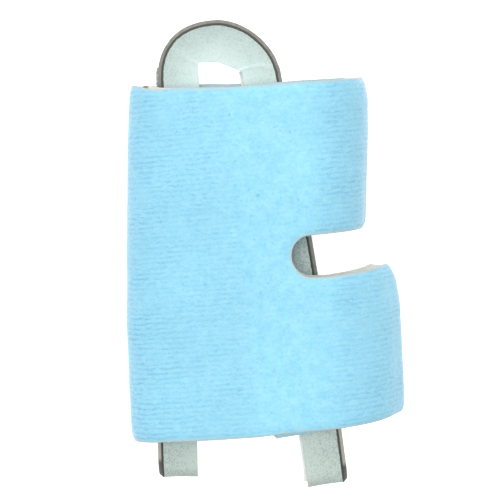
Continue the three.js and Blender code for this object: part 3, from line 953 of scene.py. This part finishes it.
# Painted shade: greyer towards the feet, which the wrap shades, and darkest at their bent-back ends
SHADED_FOOT = (0.5, 0.585, 0.54)
FOOT_END = (0.34, 0.4, 0.37)
SPECK_GREY = (0.26, 0.32, 0.31)
SMUDGE_BROWN = (0.42, 0.42, 0.28)
SMUDGE = {"spot": (-1.92, 6.27, 6.4), "reach": 0.75, "ragged": 0.9}
# The dark line along the rim is the sheared edge's burr with painted shade in it, darker on the legs as
# painted shade
RIM_BURR_AND_SHADE = (0.07, 0.067, 0.052)
LEG_RIM_BURR_AND_SHADE = (0.04, 0.04, 0.033)
RIM_LINE_SCALE = 1500
RIM_LINE_FROM = 0.952
RIM_LINE_RAGGED = 0.03
CUT_GREYS = ((0.165, 0.16, 0.145), (0.27, 0.265, 0.24))
FOOT_BEIGE = (0.42, 0.4, 0.34)
CUT_END_DARK = (0.04, 0.04, 0.034)

WEAVE_SCALE, THREAD_SCALE = 2200, 2600
NYLON_WHITES = ((0.97, 0.98, 0.95), (0.87, 0.89, 0.86))
# Mottled greys of the tape's cut edge: painted shade between its hooks
TAPE_EDGE_SHADES = ((0.13, 0.135, 0.13), (0.33, 0.34, 0.33), (0.62, 0.62, 0.6))


def feed(tree, socket, value):
    """Links a socket to another one, or sets it to a plain value."""
    if isinstance(value, bpy.types.NodeSocket):
        tree.links.new(value, socket)
    else:
        socket.default_value = value


def node(tree, kind, **values):
    """A shader node with its settings and the values of its sockets."""
    made = tree.nodes.new(kind)
    for key, value in values.items():
        if hasattr(made, key):
            setattr(made, key, value)
        else:
            feed(tree, made.inputs[key.replace("_", " ")], value)
    return made


def new_material(name):
    """A material, its node tree and the place on the piece in it."""
    material = bpy.data.materials.new(name)
    material.use_nodes = True
    tree = material.node_tree
    return material, tree, node(tree, "ShaderNodeTexCoord").outputs["Object"]


def dressed(material, **values):
    """Sets the sockets of a material's shader."""
    tree = material.node_tree
    for key, value in values.items():
        feed(tree, tree.nodes["Principled BSDF"].inputs[key.replace("_", " ")], value)
    return material


def ramp(tree, source, places, colours):
    """A colour ramp on a value: colours at places, where one number stands for a grey."""
    made = node(tree, "ShaderNodeValToRGB", Fac=source)
    elements = made.color_ramp.elements
    while len(elements) < len(places):
        elements.new(0.5)
    for element, place, colour in zip(elements, places, colours):
        element.position = place
        element.color = (*colour, 1) if isinstance(colour, tuple) else (colour, colour, colour, 1)
    return made.outputs["Color"]


def mixed(tree, share, first, second, blend="MIX"):
    """Two colours mixed by a share, each a socket or a plain colour."""
    made = tree.nodes.new("ShaderNodeMix")
    made.data_type = "RGBA"
    made.blend_type = blend
    for name, kind, value in (("Factor", "VALUE", share), ("A", "RGBA", first), ("B", "RGBA", second)):
        socket = next(s for s in made.inputs if s.name == name and s.type == kind)
        feed(tree, socket, (*value, 1) if isinstance(value, tuple) else value)
    return next(s for s in made.outputs if s.type == "RGBA")


def maths(tree, operation, *values):
    """The result of an operation on sockets and plain numbers."""
    made = node(tree, "ShaderNodeMath", operation=operation)
    for socket, value in zip(made.inputs, values):
        feed(tree, socket, value)
    return made.outputs["Value"]


def tinted(tree, tone, share, strength, colour):
    """A tone moved towards a colour by a share, and no further than the strength."""
    return mixed(tree, maths(tree, "MULTIPLY", share, strength), tone, colour)


def noise_of(tree, where, scale, detail=2.0, roughness=0.5):
    """Cloudy noise round 0.5 at a place."""
    return node(tree, "ShaderNodeTexNoise", Vector=where, Scale=scale, Detail=detail,
                Roughness=roughness).outputs["Fac"]


def cells_of(tree, where, scale):
    """Distance from the middles of random cells."""
    return node(tree, "ShaderNodeTexVoronoi", Vector=where, Scale=scale).outputs["Distance"]


def bumped(tree, height, distance, strength, before=None):
    """A bump of a distance in millimetres on a height, with another bump before it."""
    made = node(tree, "ShaderNodeBump", Height=height, Distance=distance * MM, Strength=strength)
    if before is not None:
        tree.links.new(before, made.inputs["Normal"])
    return made.outputs["Normal"]


def rising(tree, value, low, high):
    """0 at the low value and 1 at the high one, straight between them and held beyond."""
    return node(tree, "ShaderNodeMapRange", Value=value, From_Min=low, From_Max=high).outputs["Result"]


def attribute(tree, name):
    """A number that the mesh holds at its points."""
    return node(tree, "ShaderNodeAttribute", attribute_name=name).outputs["Fac"]


def ragged_by(tree, place, amount, value):
    """A value made ragged by fine noise times an amount."""
    fine = noise_of(tree, place, RAGGED_SCALE, RAGGED_DETAIL)
    return maths(tree, "MULTIPLY_ADD", fine, amount, value)


def near_place(tree, place, spot, reach, ragged, height_counts=1.0):
    """1 inside a ragged spot round a place in the making frame, 0 outside it, with a soft edge. A spot
    where height counts for less soaks deeper."""
    weights = np.array((1.0, 1.0, height_counts))
    weighed = node(tree, "ShaderNodeVectorMath", operation="MULTIPLY")
    tree.links.new(place, weighed.inputs[0])
    weighed.inputs[1].default_value = weights
    away = node(tree, "ShaderNodeVectorMath", operation="DISTANCE")
    tree.links.new(weighed.outputs["Vector"], away.inputs[0])
    away.inputs[1].default_value = np.array(to_model(*np.array(spot))) * weights
    uneven = ragged_by(tree, place, ragged * MM, away.outputs["Value"])
    return rising(tree, uneven, reach * MM, SPOT_CORE * reach * MM)


def knit_rows(tree, cloth):
    """Short broken dashes along the knit's rows, strongest where it is stretched; that stretch; and the
    place along the flat sheet."""
    split = tree.nodes.new("ShaderNodeSeparateXYZ")
    tree.links.new(cloth, split.inputs[0])
    along, down, stretch = (split.outputs[axis] for axis in "XYZ")
    weave = node(tree, "ShaderNodeCombineXYZ", X=maths(tree, "MULTIPLY", along, DASH_SQUEEZE), Y=down)
    weave = weave.outputs["Vector"]
    wander = maths(tree, "MULTIPLY_ADD", noise_of(tree, weave, WANDER_SCALE), ROW_WANDER, ROW_SHIFT)
    row_place = maths(tree, "MULTIPLY_ADD", down, 2 * math.pi / ROW_PITCH, wander)
    rows = maths(tree, "MULTIPLY_ADD", maths(tree, "SINE", row_place), 0.5, 0.5)
    broken = rising(tree, noise_of(tree, weave, DASH_SCALE), *DASHED)
    patchy = rising(tree, noise_of(tree, cloth, PATCH_SCALE), *PATCHY)
    dashes = maths(tree, "MULTIPLY", maths(tree, "MULTIPLY", rows, broken), patchy)
    return maths(tree, "MULTIPLY", dashes, stretch), stretch, along


def fray_and_shade(tree, place, along):
    """1 in a ragged line of fraying along the cut edges, and in a wider band of painted shade on the
    back layer; 0 elsewhere.
    """
    ragged = ragged_by(tree, place, -FRAY_RAGGED, attribute(tree, "to_edge"))
    on_back = rising(tree, along, BACK_LAYER_END, BACK_LAYER_END - BACK_LAYER_EASE)
    ragged = maths(tree, "MULTIPLY_ADD", on_back, -BACK_LAYER_SHADE, ragged)
    return rising(tree, ragged, *FRAYED)


def loop_knit():
    """Light-blue brushed loop knit: a cloudy nap, rows where it is stretched, grey fraying at its cuts,
    and painted shade along the back layer's cut edges.
    """
    material, tree, place = new_material("loop_knit")
    cloth = node(tree, "ShaderNodeAttribute", attribute_name="cloth").outputs["Vector"]
    shown, stretch, along = knit_rows(tree, cloth)
    cloud = noise_of(tree, place, CLOUD_SCALE, 4.0, 0.6)
    nap = noise_of(tree, place, NAP_SCALE, 3.0, 0.65)
    broad = noise_of(tree, place, BROAD_SCALE)
    lint = rising(tree, noise_of(tree, place, LINT_SCALE, 1.0), *LINTY)
    tone = ramp(tree, cloud, THREE_STOPS, KNIT_BLUES)
    tone = tinted(tree, tone, stretch, 0.8, STRETCHED_BLUE)
    tone = tinted(tree, tone, shown, 0.8, ROW_BLUE)
    tone = mixed(tree, 0.7, tone, ramp(tree, nap, (0.32, 0.52), (0.88, 1.0)), "MULTIPLY")
    tone = mixed(tree, 0.8, tone, ramp(tree, broad, TWO_STOPS, (0.955, 1.03)), "MULTIPLY")
    tone = tinted(tree, tone, lint, 0.3, LINT_BLUE)
    # Grey fraying at the cut edges, widened on the back layer into painted shade
    tone = tinted(tree, tone, fray_and_shade(tree, place, along), 0.8, FRAYED_AND_SHADED_GREY)
    normal = bumped(tree, cloud, 0.16, 0.5)
    normal = bumped(tree, shown, 0.14, 0.5, normal)
    normal = bumped(tree, nap, 0.09, 0.7, normal)
    return dressed(material, Base_Color=tone, Normal=normal, Roughness=0.92, Specular_IOR_Level=0.2,
                   Sheen_Weight=0.5, Sheen_Roughness=0.45, Sheen_Tint=SHEEN_TINT)


def pale_fibre():
    """Loose fibres of the nap, paler than the knit and a little uneven."""
    material, tree, place = new_material("pale_fibre")
    tone = ramp(tree, noise_of(tree, place, FIBRE_TONE_SCALE), TWO_STOPS, FIBRE_BLUES)
    return dressed(material, Base_Color=tone, Roughness=0.7, Sheen_Weight=0.4)


def cut_foam():
    """Cream open-cell foam where the sheet was cut, with one small brown stain."""
    material, tree, place = new_material("cut_foam")
    pits = ramp(tree, cells_of(tree, place, FOAM_CELL_SCALE), (0.1, 0.45), (0.66, 1.0))
    tone = ramp(tree, noise_of(tree, place, FOAM_TONE_SCALE), TWO_STOPS, FOAM_CREAMS)
    tone = mixed(tree, 0.6, tone, pits, "MULTIPLY")
    tone = tinted(tree, tone, near_place(tree, place, **STAIN), 0.85, STAIN_BROWN)
    return dressed(material, Base_Color=tone, Normal=bumped(tree, pits, 0.12, 0.8), Roughness=0.95,
                   Specular_IOR_Level=0.15)


def metal_specks(tree, place, across, on_legs):
    """Fine dark specks, more of them towards the rim and on the legs."""
    crowd = maths(tree, "MULTIPLY_ADD", across, CROWD_TO_RIM, SPECK_CROWD)
    crowd = maths(tree, "MULTIPLY_ADD", on_legs, CROWD_ON_LEGS, crowd)
    speck = maths(tree, "LESS_THAN", cells_of(tree, place, SPECK_SCALE), crowd)
    picked = rising(tree, noise_of(tree, place, SPECK_PICK_SCALE, 1.0), *SPECK_PICKED)
    return maths(tree, "MULTIPLY", speck, picked)


def with_rim_line(tree, tone, place, across, to_foot):
    """The metal's tone with the dark, slightly ragged line along its rim: the sheared edge's burr with
    painted shade in it, darker on the legs as painted shade.
    """
    uneven = noise_of(tree, place, RIM_LINE_SCALE)
    start = maths(tree, "MULTIPLY_ADD", uneven, RIM_LINE_RAGGED, RIM_LINE_FROM)
    rim_burr_and_shade = mixed(tree, rising(tree, to_foot, *RIM_ON_LEGS), RIM_BURR_AND_SHADE, LEG_RIM_BURR_AND_SHADE)
    return tinted(tree, tone, maths(tree, "GREATER_THAN", across, start), 0.94, rim_burr_and_shade)


def satin_metal():
    """Satin aluminium: speckled towards its rim, with painted shade darkening its feet and a painted
    highlight along its creases.
    """
    material, tree, place = new_material("satin_metal")
    across = attribute(tree, "across")
    to_foot = attribute(tree, "to_foot")
    on_legs = rising(tree, to_foot, *ON_LEGS)
    grain = noise_of(tree, place, GRAIN_SCALE, 2.0, 0.6)
    speck = metal_specks(tree, place, across, on_legs)
    tone = ramp(tree, noise_of(tree, place, SATIN_SCALE, 3.0), TWO_STOPS, SATIN_TONES)
    tone = tinted(tree, tone, rising(tree, across, *SMOOTH_INSIDE), on_legs, SMOOTH_SATIN)
    # Painted highlight along the two creases
    tone = tinted(tree, tone, attribute(tree, "crease"), 0.5, CREASE_HIGHLIGHT)
    # Painted shade towards the feet, and darker still at their ends
    tone = tinted(tree, tone, rising(tree, to_foot, *NEAR_FOOT), 0.6, SHADED_FOOT)
    tone = tinted(tree, tone, rising(tree, to_foot, *AT_FOOT_END), 0.5, FOOT_END)
    fine = ramp(tree, grain, THREE_STOPS, (0.76, 1.0, 1.06))
    grainy = maths(tree, "MULTIPLY", rising(tree, across, *GRAINY_ACROSS),
                   rising(tree, to_foot, *GRAINY_DOWN))
    tone = mixed(tree, maths(tree, "MULTIPLY_ADD", grainy, 0.4, 0.3), tone, fine, "MULTIPLY")
    tone = tinted(tree, tone, speck, maths(tree, "MULTIPLY_ADD", on_legs, 0.18, 0.2), SPECK_GREY)
    tone = tinted(tree, tone, near_place(tree, place, **SMUDGE), 0.35, SMUDGE_BROWN)
    tone = with_rim_line(tree, tone, place, across, to_foot)
    normal = bumped(tree, speck, -0.04, 0.5, bumped(tree, grain, 0.03, 0.6))
    return dressed(material, Base_Color=tone, Normal=normal, Metallic=0.12, Specular_IOR_Level=0.35,
                   Roughness=ramp(tree, grain, TWO_STOPS, (0.5, 0.68)))


def cut_metal():
    """Sheared edge of the sheet: streaked warm grey, beige along the feet, dark at their ends."""
    material, tree, place = new_material("cut_metal")
    to_foot = attribute(tree, "to_foot")
    streak = noise_of(tree, place, STREAK_SCALE, 3.0, 0.6)
    near_front = rising(tree, attribute(tree, "behind"), *NEAR_FRONT)
    on_rim = maths(tree, "GREATER_THAN", attribute(tree, "across"), 0.5)
    tone = ramp(tree, streak, TWO_STOPS, CUT_GREYS)
    tone = tinted(tree, tone, rising(tree, to_foot, *BEIGE_NEAR_FOOT), 0.75, FOOT_BEIGE)
    # Burr and painted shade along the front of the rim's cut face
    tone = tinted(tree, tone, near_front, on_rim, RIM_BURR_AND_SHADE)
    tone = tinted(tree, tone, rising(tree, to_foot, *DARK_AT_END), 0.93, CUT_END_DARK)
    return dressed(material, Base_Color=tone, Normal=bumped(tree, streak, 0.05, 0.7), Metallic=0.3,
                   Roughness=0.5)


def hook_nylon():
    """Off-white woven tape and its stiff nylon hooks."""
    material, tree, place = new_material("hook_nylon")
    weave = cells_of(tree, place, WEAVE_SCALE)
    return dressed(material, Base_Color=ramp(tree, weave, (0.1, 0.6), NYLON_WHITES),
                   Normal=bumped(tree, weave, 0.08, 0.6), Roughness=0.55, Specular_IOR_Level=0.4)


def cut_tape():
    """Rough cut edge of the hook tape, mottled dark grey as painted shade between its hooks."""
    material, tree, place = new_material("cut_tape")
    threads = noise_of(tree, place, THREAD_SCALE, 3.0, 0.7)
    # Painted shade: the cut edge mottled dark grey
    return dressed(material, Base_Color=ramp(tree, threads, (0.35, 0.5, 0.65), TAPE_EDGE_SHADES),
                   Normal=bumped(tree, threads, 0.12, 0.8), Roughness=0.8)


def pale_floor():
    """A white light table: its own glow keeps shadows on it faint."""
    material = bpy.data.materials.new("pale_floor")
    material.use_nodes = True
    return dressed(material, Base_Color=(0.9, 0.9, 0.9, 1), Roughness=0.9, Specular_IOR_Level=0.1,
                   Emission_Color=(1, 1, 1, 1), Emission_Strength=0.55)


# Scene

FLOOR_SIZE = 3.0


def floor():
    """The white surface that the splint lies on."""
    bpy.ops.object.select_all(action="DESELECT")
    bpy.ops.mesh.primitive_plane_add(size=FLOOR_SIZE)
    plane = bpy.context.active_object
    plane.name = "floor"
    plane.data.materials.append(pale_floor())


VIEW_TILT = math.radians(4.2)
VIEW_ROLL = math.radians(4.75)
VIEW_DISTANCE = 240 * MM
VIEW_FOCAL_SHARE = 1756 / 500
VIEW_AIM = Vector((2.2 * MM, -23.2 * MM, 8 * MM))
SENSOR_WIDTH = 36
VIEW_NEAR, VIEW_FAR = 0.01, 10


def camera():
    """Looks down on the splint as the photograph does, leaning a little to the crown's side."""
    data = bpy.data.cameras.new("camera")
    data.sensor_width = SENSOR_WIDTH
    data.lens = data.sensor_width * VIEW_FOCAL_SHARE
    data.clip_start = VIEW_NEAR
    data.clip_end = VIEW_FAR
    back = Vector((0, math.sin(VIEW_TILT), math.cos(VIEW_TILT)))
    level_up = Vector((0, math.cos(VIEW_TILT), -math.sin(VIEW_TILT)))
    level_right = Vector((1, 0, 0))
    up = math.sin(VIEW_ROLL) * level_right + math.cos(VIEW_ROLL) * level_up
    right = math.cos(VIEW_ROLL) * level_right - math.sin(VIEW_ROLL) * level_up
    seer = bpy.data.objects.new("camera", data)
    place = ORIGIN + VIEW_AIM + back * VIEW_DISTANCE
    turn = Matrix((right, up, back)).transposed().to_4x4()
    seer.matrix_world = Matrix.Translation(place) @ turn
    bpy.context.collection.objects.link(seer)
    bpy.context.scene.camera = seer


def softbox(name, place, size, power):
    """A square area light that faces the middle of the splint."""
    data = bpy.data.lights.new(name, "AREA")
    data.size = size
    data.energy = power
    lamp = bpy.data.objects.new(name, data)
    lamp.location = place
    lamp.rotation_euler = (-Vector(place)).to_track_quat("-Z", "Y").to_euler()
    bpy.context.collection.objects.link(lamp)


# Place and size of each softbox in metres, and its power in watts
SOFTBOXES = {"key": ((-0.12, 0.5, 0.55), 0.45, 1.8), "overhead": ((-0.03, 0.08, 0.85), 0.4, 4.65)}
WORLD_STRENGTH = 0.4


def lights():
    """An even white room with a key light from beyond the crown and one overhead."""
    world = bpy.data.worlds.new("studio")
    world.use_nodes = True
    backdrop = world.node_tree.nodes["Background"].inputs
    backdrop["Color"].default_value = (1, 1, 1, 1)
    backdrop["Strength"].default_value = WORLD_STRENGTH
    bpy.context.scene.world = world
    for name, (place, size, power) in SOFTBOXES.items():
        softbox(name, place, size, power)
    bpy.context.scene.view_settings.view_transform = "Standard"


def main():
    """Sets up the view and builds each piece, tied to its own solid of the CAD model."""
    camera()
    lights()
    floor()
    metal = metal_frame(satin_metal(), cut_metal())
    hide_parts("metal_frame")
    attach(metal, "root")
    nylon = hook_nylon()
    tape_edge = cut_tape()
    for hand in ("left", "right"):
        for piece in (hook_tape(hand, nylon, tape_edge), hooks(hand, nylon)):
            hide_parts(f"hook_strip_{hand}")
            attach(piece, "root")
    wrap, fibres = foam_wrap(loop_knit(), cut_foam())
    for piece in (wrap, loose_fibres(fibres, pale_fibre())):
        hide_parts("foam_wrap")
        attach(piece, "root")


main()
